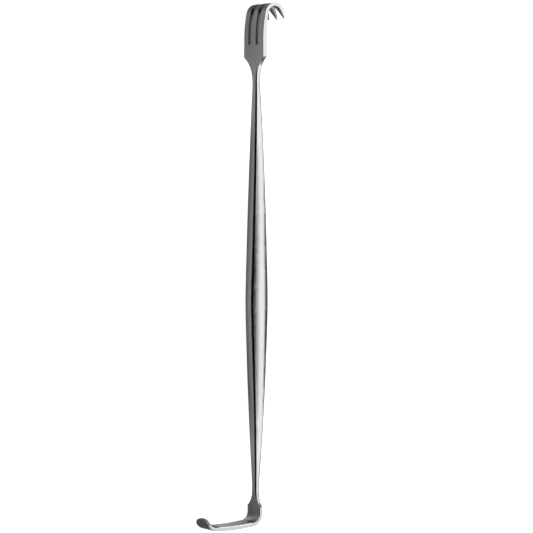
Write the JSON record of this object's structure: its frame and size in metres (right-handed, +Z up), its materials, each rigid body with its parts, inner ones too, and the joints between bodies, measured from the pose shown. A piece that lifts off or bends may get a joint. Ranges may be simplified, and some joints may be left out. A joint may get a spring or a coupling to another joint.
{
  "type": "handheld surgical retractor",
  "caption": "Double-ended steel hand retractor: a hooked, pointed rake at one end and a small right-angled blade with a lifted lip at the other.",
  "frame": {"origin": "bottom centre of the bounding box of the instrument lying on its side", "axes": "+X along the handle towards the rake, +Y the way the blade points from the handle, +Z up, across the width of both ends"},
  "size_m": [0.16, 0.0284, 0.0101],
  "materials": {
    "steel": "satin stainless steel with polished narrow sides"
  },
  "bodies": {
    "root": {"retractor": "steel"}
  },
  "joints": []
}
